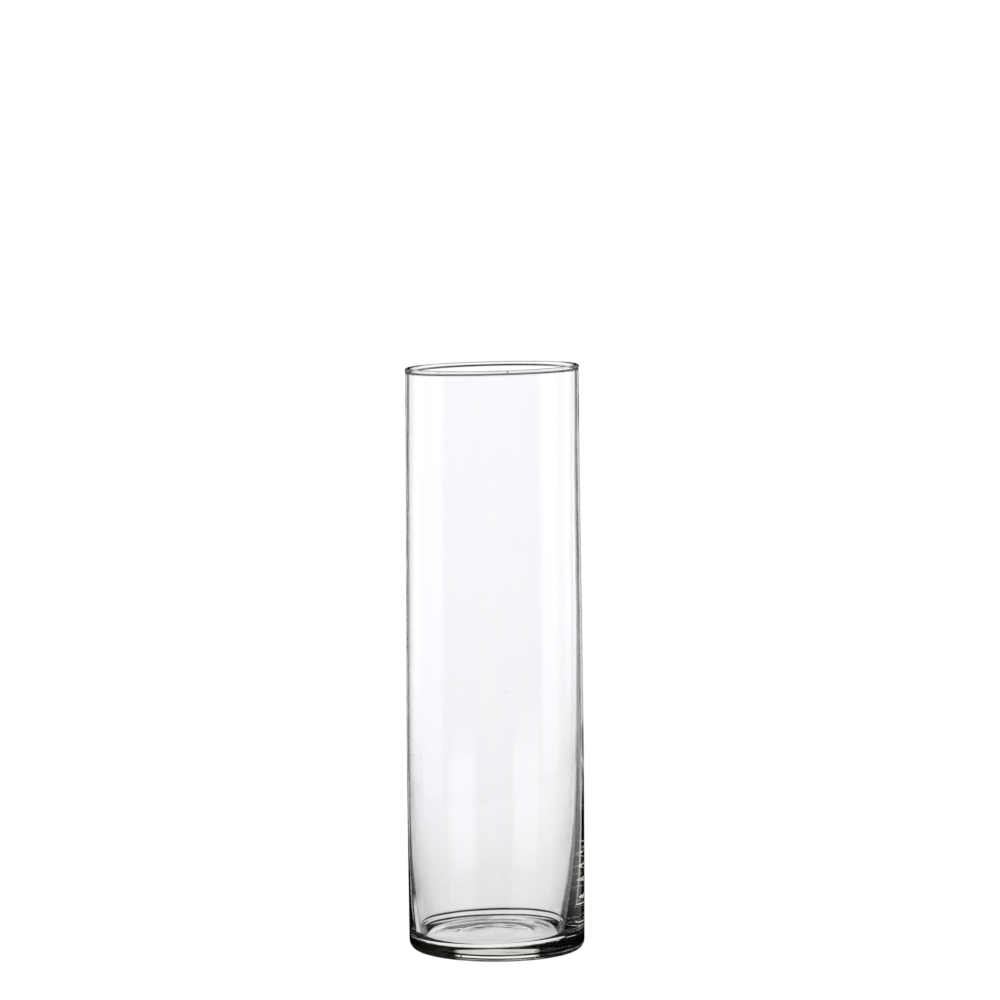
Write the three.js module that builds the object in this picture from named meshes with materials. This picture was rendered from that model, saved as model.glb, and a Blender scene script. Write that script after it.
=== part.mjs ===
// A glass cylinder vase: one body of clear glass, open at the top, with a thick floor,
// a wall that thickens towards the floor, a rounded heel and a fire-polished lip bead.
//
// Millimetres, +Z up. The origin is at the middle of the plane that the vase stands on.

import * as THREE from 'three';

// Overall shape
const HEIGHT = 300;
const FOOT_RADIUS = 45.15; // outer radius just above the heel
const BELLY_RADIUS = 45.5; // outer radius where the vase is widest
const BELLY_HEIGHT = 85;
const NECK_RADIUS = 44.3; // outer radius just under the lip

// Underside: a shallow hollow inside a flat ring that the vase stands on
const HOLLOW_RADIUS = 33;
const HOLLOW_DEPTH = 1;
const HEEL_ROUNDING = 5;

// Inside
const FLOOR_HEIGHT = 6.5; // top of the floor above the standing plane
const FLOOR_ROUNDING = 6;
const WALL_THICKNESS = 1.6; // high up, where the wall is at its thinnest
const ROOT_THICKENING = 4.8; // how much thicker the wall is where it meets the floor
const ROOT_FADE = 35; // height over which that thickening falls to about a third

// Lip: a round bead, thicker than the wall, that stands out of it on both sides
const LIP_THICKNESS = 2.7;
const LIP_RISE = 1.05; // from the middle of the bead to its crest
const LIP_BULGE = 0.25; // how far the bead stands out on the outside

// How finely the round shapes are cut
const TURN_STEPS = 72;
const WALL_STEPS = 11;
const ARC_STEPS = 5;
const LIP_STEPS = 12;
const HOLLOW_STEPS = 3;

const LIP_BEAD = LIP_THICKNESS / 2;
const LIP_BASE = HEIGHT - LIP_RISE;
const LIP_OUTSIDE_CREASE = Math.acos(1 - LIP_BULGE / LIP_BEAD);
const LIP_INSIDE_CREASE = Math.acos((WALL_THICKNESS + LIP_BULGE) / LIP_BEAD - 1);
const ROOT_SLOPE = Math.atan(ROOT_THICKENING / ROOT_FADE); // how far the bore leans at its foot
const WALL_BASE = FLOOR_HEIGHT + FLOOR_ROUNDING * (1 - Math.sin(ROOT_SLOPE));

// A gentle swell from the foot to the belly, then a slow draw-in up to the neck.
function outerRadius(height) {
  if (height < BELLY_HEIGHT) {
    const fall = (BELLY_HEIGHT - height) / BELLY_HEIGHT;
    return BELLY_RADIUS - (BELLY_RADIUS - FOOT_RADIUS) * fall ** 2;
  }
  const rise = (height - BELLY_HEIGHT) / (HEIGHT - BELLY_HEIGHT);
  return THREE.MathUtils.lerp(BELLY_RADIUS, NECK_RADIUS, THREE.MathUtils.smoothstep(rise, 0, 1));
}

function innerRadius(height) {
  const root = ROOT_THICKENING * Math.exp((WALL_BASE - height) / ROOT_FADE);
  return outerRadius(height) - WALL_THICKNESS - root;
}

// Heights from the bottom of the wall to the top, closer together near the floor.
function wallHeights(bottom, top) {
  const heights = [];
  for (let step = 0; step <= WALL_STEPS; step += 1) {
    const share = step / WALL_STEPS;
    heights.push(THREE.MathUtils.lerp(bottom, top, share ** 1.6));
  }
  return heights;
}

function underside() {
  const points = [];
  for (let step = 0; step <= HOLLOW_STEPS; step += 1) {
    const share = step / HOLLOW_STEPS;
    points.push(new THREE.Vector2(HOLLOW_RADIUS * share, HOLLOW_DEPTH * (1 - share ** 2)));
  }
  return points;
}

function heel() {
  const centre = outerRadius(HEEL_ROUNDING) - HEEL_ROUNDING;
  const curve = new THREE.EllipseCurve(centre, HEEL_ROUNDING, HEEL_ROUNDING, HEEL_ROUNDING,
    -Math.PI / 2, 0);
  return curve.getPoints(ARC_STEPS);
}

function outerWall() {
  const top = LIP_BASE - LIP_RISE * Math.sin(LIP_OUTSIDE_CREASE);
  const heights = wallHeights(HEEL_ROUNDING, top).slice(1);
  return heights.map((height) => new THREE.Vector2(outerRadius(height), height));
}

function lip() {
  const middle = outerRadius(LIP_BASE) + LIP_BULGE - LIP_BEAD;
  const curve = new THREE.EllipseCurve(middle, LIP_BASE, LIP_BEAD, LIP_RISE,
    -LIP_OUTSIDE_CREASE, Math.PI + LIP_INSIDE_CREASE);
  return curve.getPoints(LIP_STEPS).slice(1);
}

function innerWall() {
  const top = LIP_BASE - LIP_RISE * Math.sin(LIP_INSIDE_CREASE);
  const heights = wallHeights(WALL_BASE, top).reverse().slice(1);
  return heights.map((height) => new THREE.Vector2(innerRadius(height), height));
}

function floor() {
  const centre = innerRadius(WALL_BASE) - FLOOR_ROUNDING * Math.cos(ROOT_SLOPE);
  const rounding = new THREE.EllipseCurve(centre, FLOOR_HEIGHT + FLOOR_ROUNDING,
    FLOOR_ROUNDING, FLOOR_ROUNDING, -ROOT_SLOPE, -Math.PI / 2, true);
  return [...rounding.getPoints(ARC_STEPS).slice(1), new THREE.Vector2(0, FLOOR_HEIGHT)];
}

function glassVase() {
  const profile = [
    ...underside(),
    ...heel(),
    ...outerWall(),
    ...lip(),
    ...innerWall(),
    ...floor(),
  ];
  const geometry = new THREE.LatheGeometry(profile, TURN_STEPS);
  geometry.rotateX(Math.PI / 2); // the lathe turns about Y, and the vase stands along Z
  const glass = new THREE.MeshStandardMaterial({
    color: 0xf1f4ef,
    roughness: 0.02,
    metalness: 0,
    transparent: true,
    opacity: 0.35,
  });
  const mesh = new THREE.Mesh(geometry, glass);
  mesh.name = 'glass_vase';
  return mesh;
}

const vase = new THREE.Group();
vase.add(glassVase());

export default vase;
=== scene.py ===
"""A clear glass cylinder vase on a white table.

The studio is a formula of direction, with light seen through the glass, light mirrored by it and
the plain background each given their own brightness. It isn't a set of real lamps.
"""

import math

import bpy
from mathutils import Matrix, Vector, noise


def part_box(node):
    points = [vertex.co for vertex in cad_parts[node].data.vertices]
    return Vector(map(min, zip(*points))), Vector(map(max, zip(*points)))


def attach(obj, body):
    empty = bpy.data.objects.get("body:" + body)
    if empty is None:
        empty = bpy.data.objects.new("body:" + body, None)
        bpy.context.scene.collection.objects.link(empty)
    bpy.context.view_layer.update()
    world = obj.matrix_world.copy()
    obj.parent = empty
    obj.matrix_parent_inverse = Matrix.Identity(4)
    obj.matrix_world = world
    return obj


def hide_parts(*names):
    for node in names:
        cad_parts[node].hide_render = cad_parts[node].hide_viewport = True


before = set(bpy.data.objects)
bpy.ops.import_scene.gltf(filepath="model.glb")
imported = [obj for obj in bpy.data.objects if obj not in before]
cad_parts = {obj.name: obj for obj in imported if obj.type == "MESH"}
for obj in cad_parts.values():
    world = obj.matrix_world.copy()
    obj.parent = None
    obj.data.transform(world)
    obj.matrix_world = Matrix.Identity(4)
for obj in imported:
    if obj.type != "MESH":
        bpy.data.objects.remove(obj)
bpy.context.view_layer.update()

MM = 0.001
low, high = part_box("glass_vase")

# Sizes in metres, as in the CAD model
HEIGHT = high.z
BELLY_RADIUS = (high.x - low.x) / 2 - 0.15 * MM
FOOT_RADIUS = BELLY_RADIUS - 0.35 * MM
NECK_RADIUS = BELLY_RADIUS - 1.2 * MM
BELLY_HEIGHT = 85 * MM
HOLLOW_RADIUS = 33 * MM
HOLLOW_DEPTH = 1 * MM
HEEL_ROUNDING = 5 * MM
FLOOR_HEIGHT = 6.5 * MM
FLOOR_ROUNDING = 6 * MM
WALL_THICKNESS = 1.6 * MM
ROOT_THICKENING = 4.8 * MM
ROOT_FADE = 35 * MM
LIP_THICKNESS = 2.7 * MM
LIP_RISE = 1.05 * MM  # from the middle of the bead to its crest
LIP_BULGE = 0.25 * MM  # how far the bead stands out of the wall outside

# How the hot glass sagged and spread unevenly
RIM_TILT = 0.9 * MM  # the lip is this much higher on +X and lower on -X
RIM_RISE = 0.35 * MM  # and this much higher on -Y and lower on +Y
RIM_TILT_FROM = 200 * MM
LEAN = -1.5 * MM  # the top stands this far towards -X from the foot
WALL_SHIFT = 1.7 * MM  # the bore lies this far towards -X near the floor
WALL_SHIFT_FADE = 170 * MM
FLOOR_SLOPE = 0.02  # rise of the floor towards +X
FLOOR_SLOPE_ENDS = 40 * MM  # height at which the bore no longer follows that slope
RIPPLE_OUTSIDE = 0.02 * MM
RIPPLE_INSIDE = 0.03 * MM

# What the mould left on the underside
MOULD_RING_RADIUS = 20 * MM
MOULD_RING_WIDTH = 0.9 * MM
MOULD_RING_DEPTH = 0.06 * MM
CHILL_SIZE = 9 * MM
CHILL_DEPTH = 0.07 * MM

# Seeds (tiny bubbles): degrees round, height, depth under the outside, radius and stretch
SEEDS = [
    (-79.5, HEIGHT - 0.9 * MM, 1.0 * MM, 0.35 * MM, 1.3),
    (-128, HEIGHT - 1.0 * MM, 1.1 * MM, 0.22 * MM, 1.0),
    (-82, 138 * MM, 0.8 * MM, 0.22 * MM, 1.6),
    (-35, 61 * MM, 1.6 * MM, 0.2 * MM, 2.0),
    (72, 205 * MM, 0.9 * MM, 0.18 * MM, 1.8),
    (150, 96 * MM, 1.2 * MM, 0.2 * MM, 1.7),
    (-118, 3.4 * MM, 9 * MM, 0.4 * MM, 0.8),
    (-58, 3.8 * MM, 12 * MM, 0.45 * MM, 0.7),
]

# How finely the glass is cut
TURN_STEPS = 240
WALL_STEPS = 130
ROUND_STEPS = 14
FLOOR_STEPS = 24
LIP_STEPS = 28
CREASE_WIDTH = 1.0 * MM
SEED_ROWS = 8
SEED_TURNS = 12
DISC_STEPS = 60

LIP_BEAD = LIP_THICKNESS / 2
LIP_BASE = HEIGHT - LIP_RISE
LIP_OUTSIDE_CREASE = math.acos(1 - LIP_BULGE / LIP_BEAD)
LIP_INSIDE_CREASE = math.acos((WALL_THICKNESS + LIP_BULGE) / LIP_BEAD - 1)
ROOT_SLOPE = math.atan(ROOT_THICKENING / ROOT_FADE)  # how far the bore leans inwards at its foot
WALL_BASE = FLOOR_HEIGHT + FLOOR_ROUNDING * (1 - math.sin(ROOT_SLOPE))


def lerp(a, b, share):
    return a + (b - a) * share


def smoothstep(value, start, end):
    share = min(max((value - start) / (end - start), 0.0), 1.0)
    return share * share * (3 - 2 * share)


def even_outer_radius(height):
    """The outer radius before any unevenness: foot, belly, then a slow draw-in to the neck."""
    if height < BELLY_HEIGHT:
        return BELLY_RADIUS - (BELLY_RADIUS - FOOT_RADIUS) * (1 - height / BELLY_HEIGHT) ** 2
    return lerp(BELLY_RADIUS, NECK_RADIUS, smoothstep(height, BELLY_HEIGHT, HEIGHT))


def wall_thickness(height):
    return WALL_THICKNESS + ROOT_THICKENING * math.exp((WALL_BASE - height) / ROOT_FADE)


def ripple(angle, height, across, along, seed):
    """Smooth random waves on a cylinder, between about -1 and 1."""
    spot = Vector((across * math.cos(angle), across * math.sin(angle), along * height + seed))
    return noise.noise(spot)


def outer_radius(height, angle):
    wave = RIPPLE_OUTSIDE * ripple(angle, height, 1.6, 22.0, 3.1)
    return even_outer_radius(height) + wave * smoothstep(height, 0, 15 * MM)


def bore_radius(height, angle):
    wave = RIPPLE_INSIDE * ripple(angle, height, 2.2, 45.0, 11.7)
    wave += 0.4 * RIPPLE_INSIDE * ripple(angle, height, 5.0, 120.0, 4.2)
    calm = 1 - smoothstep(height, LIP_BASE - 10 * MM, LIP_BASE)
    return even_outer_radius(height) - wall_thickness(height) + wave * calm


def bore_shift(height):
    fade = 1 - smoothstep(height, LIP_BASE - 60 * MM, LIP_BASE)
    return -WALL_SHIFT * math.exp(-height / WALL_SHIFT_FADE) * fade


def rise(height, angle):
    """How far a point at this height is lifted by the lip's tilt."""
    tilt = RIM_TILT * math.cos(angle) - RIM_RISE * math.sin(angle)
    return tilt * smoothstep(height, RIM_TILT_FROM, HEIGHT)


def place(radius, height, angle, shift=0.0, lift=0.0):
    lean = LEAN * height / HEIGHT
    return (
        radius * math.cos(angle) + shift + lean,
        radius * math.sin(angle),
        height + lift,
    )


def underside_height(radius, angle):
    """The shallow hollow, with the ring and the waves that the mould left in it."""
    share = radius / HOLLOW_RADIUS
    ring = MOULD_RING_DEPTH * math.exp(-(((radius - MOULD_RING_RADIUS) / MOULD_RING_WIDTH) ** 2))
    spot = Vector((radius * math.cos(angle), radius * math.sin(angle), 0)) / CHILL_SIZE
    chill = CHILL_DEPTH * noise.noise(spot) * (1 - share**2)
    return HOLLOW_DEPTH * (1 - share**2) + ring + chill


def underside_ring(share):
    def ring(angle):
        radius = HOLLOW_RADIUS * share
        return place(radius, underside_height(radius, angle), angle)

    return ring


def heel_ring(turn):
    def ring(angle):
        centre = even_outer_radius(HEEL_ROUNDING) - HEEL_ROUNDING
        return place(
            centre + HEEL_ROUNDING * math.sin(turn),
            HEEL_ROUNDING * (1 - math.cos(turn)),
            angle,
        )

    return ring


def outer_ring(height):
    def ring(angle):
        return place(outer_radius(height, angle), height, angle, lift=rise(height, angle))

    return ring


def lip_turn(share):
    """Angle round the bead, from where the outside of the wall meets it to where the bore does."""
    return lerp(-LIP_OUTSIDE_CREASE, math.pi + LIP_INSIDE_CREASE, share)


def lip_ring(turn):
    def ring(angle):
        middle = even_outer_radius(LIP_BASE) + LIP_BULGE - LIP_BEAD
        height = LIP_BASE + LIP_RISE * math.sin(turn)
        radius = middle + LIP_BEAD * math.cos(turn)
        return place(radius, height, angle, lift=rise(height, angle))

    return ring


def floor_lift(angle):
    """How far the sloping floor stands above or below its mean height at its edge."""
    return FLOOR_SLOPE * BELLY_RADIUS * math.cos(angle)


def bore_ring(height):
    def ring(angle):
        slope = floor_lift(angle) * (1 - smoothstep(height, WALL_BASE, FLOOR_SLOPE_ENDS))
        return place(
            bore_radius(height, angle),
            height,
            angle,
            shift=bore_shift(height),
            lift=rise(height, angle) + slope,
        )

    return ring


def floor_edge(angle):
    """Radius at which the flat of the floor ends."""
    return bore_radius(WALL_BASE, angle) - FLOOR_ROUNDING * math.cos(ROOT_SLOPE)


def floor_ring(share):
    def ring(angle):
        turn = lerp(ROOT_SLOPE, math.pi / 2, share)
        radius = floor_edge(angle) + FLOOR_ROUNDING * math.cos(turn)
        height = FLOOR_HEIGHT + FLOOR_ROUNDING * (1 - math.sin(turn))
        return place(
            radius,
            height,
            angle,
            shift=bore_shift(WALL_BASE),
            lift=floor_lift(angle),
        )

    return ring


def floor_disc_ring(share):
    def ring(angle):
        return place(
            floor_edge(angle) * share,
            FLOOR_HEIGHT,
            angle,
            shift=bore_shift(WALL_BASE),
            lift=floor_lift(angle) * share,
        )

    return ring


def wall_heights(bottom, top):
    """Heights up a wall, closer together near the floor, with one close under the lip's crease."""
    heights = [lerp(bottom, top, (step / WALL_STEPS) ** 1.4) for step in range(WALL_STEPS)]
    return heights + [top - CREASE_WIDTH, top]


def glass_rings():
    """The rings in order: under the foot, up the outside, over the lip, down to the floor."""
    rings = [underside_ring(step / DISC_STEPS) for step in range(1, DISC_STEPS + 1)]
    rings += [heel_ring(math.pi / 2 * step / ROUND_STEPS) for step in range(ROUND_STEPS + 1)]
    outside_top = LIP_BASE - LIP_RISE * math.sin(LIP_OUTSIDE_CREASE)
    rings += [outer_ring(height) for height in wall_heights(HEEL_ROUNDING, outside_top)[1:]]
    rings += [lip_ring(lip_turn(step / LIP_STEPS)) for step in range(1, LIP_STEPS + 1)]
    inside_top = LIP_BASE - LIP_RISE * math.sin(LIP_INSIDE_CREASE)
    rings += [bore_ring(height) for height in reversed(wall_heights(WALL_BASE, inside_top)[:-1])]
    rings += [floor_ring(step / FLOOR_STEPS) for step in range(1, FLOOR_STEPS + 1)]
    rings += [floor_disc_ring(1 - step / DISC_STEPS) for step in range(1, DISC_STEPS)]
    return rings


def band(first, second, count):
    """Faces between two rings of points, given where each ring starts."""
    faces = []
    for step in range(count):
        following = (step + 1) % count
        faces.append((first + step, first + following, second + following, second + step))
    return faces


def seed_points(centre, radius, stretch):
    points = []
    for row in range(1, SEED_ROWS):
        polar = math.pi * row / SEED_ROWS
        across = radius * math.sin(polar)
        along = radius * stretch * math.cos(polar)
        for step in range(SEED_TURNS):
            turn = 2 * math.pi * step / SEED_TURNS
            points.append(centre + Vector((across * math.cos(turn), across * math.sin(turn), along)))
    end = Vector((0, 0, radius * stretch))
    return [tuple(point) for point in points + [centre + end, centre - end]]


def add_seed(points, faces, seed):
    """A tiny bubble, drawn out along the height: a closed hollow whose faces look into the air."""
    degrees, height, depth, radius, stretch = seed
    angle = math.radians(degrees)
    middle = even_outer_radius(height) - depth
    first = len(points)
    centre = Vector(place(middle, height, angle, lift=rise(height, angle)))
    points += seed_points(centre, radius, stretch)
    last = first + (SEED_ROWS - 2) * SEED_TURNS
    top = last + SEED_TURNS
    for step in range(SEED_TURNS):
        following = (step + 1) % SEED_TURNS
        faces.append((top, first + following, first + step))
        faces.append((top + 1, last + step, last + following))
    for row in range(first, last, SEED_TURNS):
        faces += band(row, row + SEED_TURNS, SEED_TURNS)


def glass_points_and_faces():
    rings = glass_rings()
    angles = [2 * math.pi * step / TURN_STEPS for step in range(TURN_STEPS)]
    points = [ring(angle) for ring in rings for angle in angles]
    last = len(points) - TURN_STEPS
    foot = len(points)
    floor = foot + 1
    points.append(place(0, underside_height(0, 0), 0))
    points.append(place(0, FLOOR_HEIGHT, 0, shift=bore_shift(WALL_BASE)))
    faces = []
    for row in range(0, last, TURN_STEPS):
        faces += band(row, row + TURN_STEPS, TURN_STEPS)
    for step in range(TURN_STEPS):
        following = (step + 1) % TURN_STEPS
        faces.append((foot, following, step))
        faces.append((floor, last + step, last + following))
    return points, faces


def glass_vase():
    points, faces = glass_points_and_faces()
    for seed in SEEDS:
        add_seed(points, faces, seed)
    mesh = bpy.data.meshes.new("vase_glass")
    mesh.from_pydata(points, [], faces)
    mesh.validate()
    for face in mesh.polygons:
        face.use_smooth = True
    piece = bpy.data.objects.new("vase_glass", mesh)
    bpy.context.collection.objects.link(piece)
    mesh.materials.append(clear_glass())
    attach(piece, "root")
    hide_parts("glass_vase")


def clear_glass():
    """Soda-lime glass: clear, faintly olive where it's thick, with fine cords from the melt."""
    material = bpy.data.materials.new("clear_glass")
    material.use_nodes = True
    tree = material.node_tree
    shader = tree.nodes["Principled BSDF"]
    shader.inputs["Roughness"].default_value = 0.0
    shader.inputs["IOR"].default_value = 1.52
    shader.inputs["Transmission Weight"].default_value = 1.0
    absorption = tree.nodes.new("ShaderNodeVolumeAbsorption")
    absorption.inputs["Color"].default_value = (0.86, 0.90, 0.70, 1)
    absorption.inputs["Density"].default_value = 6.0
    tree.links.new(absorption.outputs["Volume"], tree.nodes["Material Output"].inputs["Volume"])
    cords = stretched_noise(tree, (150, 150, 35), 1.0)
    tint = tree.nodes.new("ShaderNodeValToRGB")
    tint.color_ramp.elements[0].color = (0.988, 0.986, 1.0, 1)
    tint.color_ramp.elements[1].color = (1.0, 1.0, 1.0, 1)
    tree.links.new(cords, tint.inputs["Fac"])
    tree.links.new(tint.outputs["Color"], shader.inputs["Base Color"])
    bump = tree.nodes.new("ShaderNodeBump")
    bump.inputs["Strength"].default_value = 0.2
    bump.inputs["Distance"].default_value = 0.01 * MM
    tree.links.new(cords, bump.inputs["Height"])
    tree.links.new(bump.outputs["Normal"], shader.inputs["Normal"])
    return material


def stretched_noise(tree, scale, detail):
    """Noise fixed to the object, drawn out along its height like the cords in blown glass."""
    mapping = tree.nodes.new("ShaderNodeMapping")
    mapping.inputs["Scale"].default_value = scale
    tree.links.new(tree.nodes.new("ShaderNodeTexCoord").outputs["Object"], mapping.inputs["Vector"])
    grain = tree.nodes.new("ShaderNodeTexNoise")
    grain.inputs["Scale"].default_value = 1.0
    grain.inputs["Detail"].default_value = detail
    tree.links.new(mapping.outputs["Vector"], grain.inputs["Vector"])
    return grain.outputs["Fac"]


def math_node(tree, operation, first, second=None):
    node = tree.nodes.new("ShaderNodeMath")
    node.operation = operation
    for socket, value in zip(node.inputs, (first, second)):
        if value is None:
            continue
        if isinstance(value, (int, float)):
            socket.default_value = value
        else:
            tree.links.new(value, socket)
    return node.outputs["Value"]


def curve_node(tree, value, stops):
    """A curve through (input, output) stops, straight between them and level beyond the ends."""
    start, end = stops[0][0], stops[-1][0]
    share = math_node(tree, "DIVIDE", math_node(tree, "SUBTRACT", value, start), end - start)
    node = tree.nodes.new("ShaderNodeValToRGB")
    node.color_ramp.interpolation = "LINEAR"
    elements = node.color_ramp.elements
    while len(elements) < len(stops):
        elements.new(0.5)
    for element, (position, level) in zip(elements, stops):
        element.position = (position - start) / (end - start)
        element.color = (level, level, level, 1)
    tree.links.new(share, node.inputs["Fac"])
    return node.outputs["Color"]


# The studio as the glass sees it. Bearings are degrees from +Y towards +X, pitches degrees up.
# What is seen through the glass: a lit backdrop behind it and a white table in front of that.
BACKDROP_ACROSS = [(17.5, 1.0), (21, 0.0)]
BASE_ACROSS = [(20.5, 1.0), (23.5, 0.0)]
BASE_UP = [(-13.5, 0.0), (-12.5, 1.0), (-10, 1.07), (-9.6, 0.0)]
BACKDROP_UP = [
    (-90, 0.9),
    (-31, 0.9),
    (-29.8, 0.04),
    (-24.5, 0.04),
    (-23, 0.74),
    (-13, 0.98),
    (-9, 1.07),
    (-6, 1.13),
    (-3, 1.17),
    (5, 1.08),
    (8, 0.8),
    (12, 0.68),
    (15, 0.0),
    (50, 0.0),
    (60, 1.0),
]
SIDES_ACROSS = [
    (24, 0.0),
    (27, 0.22),
    (36, 0.3),
    (38.5, 0.95),
    (60, 0.95),
    (72, 0.5),
    (105, 0.35),
    (115, 0.0),
]
SIDES_UP = [(-9.9, 0.0), (-9.3, 0.5), (-7, 1.0), (-3.2, 1.0), (-2.2, 0.0)]
TABLE_UP = [(-36, 0.9), (-31, 0.0)]
# More of the same for views from other sides. The table patch and the side backdrop are each
# centred on one bearing to the left. The rear backdrop is there on both sides.
WIDE_TABLE_BEARING = -45
SIDE_BACKDROP_BEARING = -90
WIDE_TABLE_ACROSS = [(17, 1.0), (20, 0.0)]
WIDE_TABLE_UP = [(-21, 0.9), (-19, 0.0)]
SIDE_BACKDROP_ACROSS = [(17, 1.0), (20, 0.0)]
SIDE_BACKDROP_UP = [(-12, 0.0), (-11, 1.0), (5, 1.0), (8, 0.0)]
REAR_BACKDROP_ACROSS = [(115, 0.0), (118, 1.0), (152, 1.0), (155, 0.0)]
REAR_BACKDROP_UP = [(-21, 0.9), (-9.6, 1.0), (-8.8, 0.0)]
# What the glass mirrors: soft light from both sides.
MIRRORED_ACROSS = [(30, 0.0), (38, 0.9), (62, 0.85), (80, 0.35), (115, 0.15), (125, 0.0)]
MIRRORED_UP = [(-10.2, 0.0), (-9.4, 1.0), (4.0, 1.0), (8.0, 0.0)]
DARK = 0.004
BACKGROUND_SEEN = 1.1  # brightness of what the camera sees directly
STUDIO_TINT = (0.984, 0.978, 1.0, 1)


def away_from(tree, bearing, centre):
    """How many degrees a bearing is from a centre, either way round."""
    turned = math_node(tree, "SUBTRACT", bearing, centre)
    turns = math_node(tree, "ROUND", math_node(tree, "DIVIDE", turned, 360))
    wrapped = math_node(tree, "SUBTRACT", turned, math_node(tree, "MULTIPLY", turns, 360))
    return math_node(tree, "ABSOLUTE", wrapped)


def patch(tree, bearing, pitch, centre, across, up):
    """Brightness of a patch of the studio round a bearing: one curve across times one curve up."""
    side = curve_node(tree, away_from(tree, bearing, centre), across)
    return math_node(tree, "MULTIPLY", side, curve_node(tree, pitch, up))


def brightest(tree, patches):
    brightness = DARK
    for one in patches:
        brightness = math_node(tree, "MAXIMUM", one, brightness)
    return brightness


def studio_world():
    world = bpy.data.worlds.new("studio")
    bpy.context.scene.world = world
    world.use_nodes = True
    tree = world.node_tree
    background = tree.nodes["Background"]
    parts = tree.nodes.new("ShaderNodeSeparateXYZ")
    direction = tree.nodes.new("ShaderNodeTexCoord").outputs["Generated"]
    tree.links.new(direction, parts.inputs["Vector"])
    across = math_node(tree, "ARCTAN2", parts.outputs["X"], parts.outputs["Y"])
    bearing = math_node(tree, "DEGREES", across)
    pitch = math_node(tree, "DEGREES", math_node(tree, "ARCSINE", parts.outputs["Z"]))
    through = brightest(tree, [
        patch(tree, bearing, pitch, 0, BACKDROP_ACROSS, BACKDROP_UP),
        patch(tree, bearing, pitch, 0, BASE_ACROSS, BASE_UP),
        patch(tree, bearing, pitch, 0, SIDES_ACROSS, SIDES_UP),
        curve_node(tree, pitch, TABLE_UP),
        patch(tree, bearing, pitch, WIDE_TABLE_BEARING, WIDE_TABLE_ACROSS, WIDE_TABLE_UP),
        patch(tree, bearing, pitch, SIDE_BACKDROP_BEARING, SIDE_BACKDROP_ACROSS,
              SIDE_BACKDROP_UP),
        patch(tree, bearing, pitch, 0, REAR_BACKDROP_ACROSS, REAR_BACKDROP_UP),
    ])
    mirrored = brightest(tree, [patch(tree, bearing, pitch, 0, MIRRORED_ACROSS, MIRRORED_UP)])
    rays = tree.nodes.new("ShaderNodeLightPath").outputs
    mirror = rays["Is Reflection Ray"]
    not_mirror = math_node(tree, "SUBTRACT", 1, mirror)
    through_share = math_node(tree, "MULTIPLY", through, not_mirror)
    mirrored_share = math_node(tree, "MULTIPLY", mirrored, mirror)
    around = math_node(tree, "ADD", through_share, mirrored_share)
    seen_directly = math_node(tree, "MULTIPLY", rays["Is Camera Ray"], BACKGROUND_SEEN)
    strength = math_node(tree, "MAXIMUM", around, seen_directly)
    tree.links.new(strength, background.inputs["Strength"])
    background.inputs["Color"].default_value = STUDIO_TINT


def table_material(name, glow, albedo):
    material = bpy.data.materials.new(name)
    material.use_nodes = True
    shader = material.node_tree.nodes["Principled BSDF"]
    shader.inputs["Base Color"].default_value = (albedo, albedo, albedo, 1)
    shader.inputs["Roughness"].default_value = 0.9
    shader.inputs["Emission Color"].default_value = (1, 1, 1, 1)
    shader.inputs["Emission Strength"].default_value = glow
    return material


def disc(name, radius, middle, height, material):
    """A round patch of table whose middle lies this far towards +Y."""
    mesh = bpy.data.meshes.new(name)
    steps = 96
    turns = [2 * math.pi * step / steps for step in range(steps)]
    points = [(radius * math.cos(turn), middle + radius * math.sin(turn), height) for turn in turns]
    mesh.from_pydata(points, [], [tuple(range(steps))])
    piece = bpy.data.objects.new(name, mesh)
    bpy.context.collection.objects.link(piece)
    mesh.materials.append(material)
    return piece


# The table: radius, how far the middle lies towards +Y, and height of each patch, in metres
LIT_PATCH = (0.040, 0.0, -0.0002)
# Painted shadow: the shaded patch is a dark sheet standing for the table in the shade of the heel
SHADED_PATCH = (0.056, -0.0154, -0.0004)
WIDE_TABLE = (12.0, 0.0, -0.0006)


def table():
    """A lit patch under the floor, a dark one that only the glass sees, and a wide one it doesn't.
    The dark one is a painted shadow: it stands for the table in the heel's shade.
    """
    disc("table_under_floor", *LIT_PATCH, table_material("table_lit", 0.9, 0.2))
    # Painted shadow: a near-black sheet under the heel, seen only through the glass
    shaded = disc("table_under_heel", *SHADED_PATCH, table_material("table_shaded", 0.01, 0.02))
    shaded.visible_camera = False
    wide = disc("table_top", *WIDE_TABLE, table_material("table_far", 1.0, 0.2))
    wide.visible_transmission = False
    wide.visible_glossy = False


# The camera, in metres and degrees
CAMERA_DISTANCE = 2.598
CAMERA_HEIGHT = 0.4687
CAMERA_SIDE = 0.0024
CAMERA_PITCH = 5.22
CAMERA_ROLL = -0.23
CAMERA_LENS = 5109 * 36 / 1000


def camera():
    data = bpy.data.cameras.new("camera")
    data.sensor_width = 36
    data.lens = CAMERA_LENS
    piece = bpy.data.objects.new("camera", data)
    bpy.context.collection.objects.link(piece)
    tilt = Matrix.Rotation(math.radians(90 - CAMERA_PITCH), 4, "X")
    roll = Matrix.Rotation(math.radians(CAMERA_ROLL), 4, "Z")
    stand = Matrix.Translation((CAMERA_SIDE, -CAMERA_DISTANCE, CAMERA_HEIGHT))
    piece.matrix_world = stand @ tilt @ roll
    bpy.context.scene.camera = piece


def colour_and_light_paths():
    scene = bpy.context.scene
    scene.view_settings.view_transform = "Standard"
    scene.cycles.max_bounces = 32
    scene.cycles.transmission_bounces = 32
    scene.cycles.glossy_bounces = 16
    scene.cycles.caustics_refractive = True
    scene.cycles.caustics_reflective = True
    scene.cycles.blur_glossy = 0.0


camera()
colour_and_light_paths()
studio_world()
table()
glass_vase()
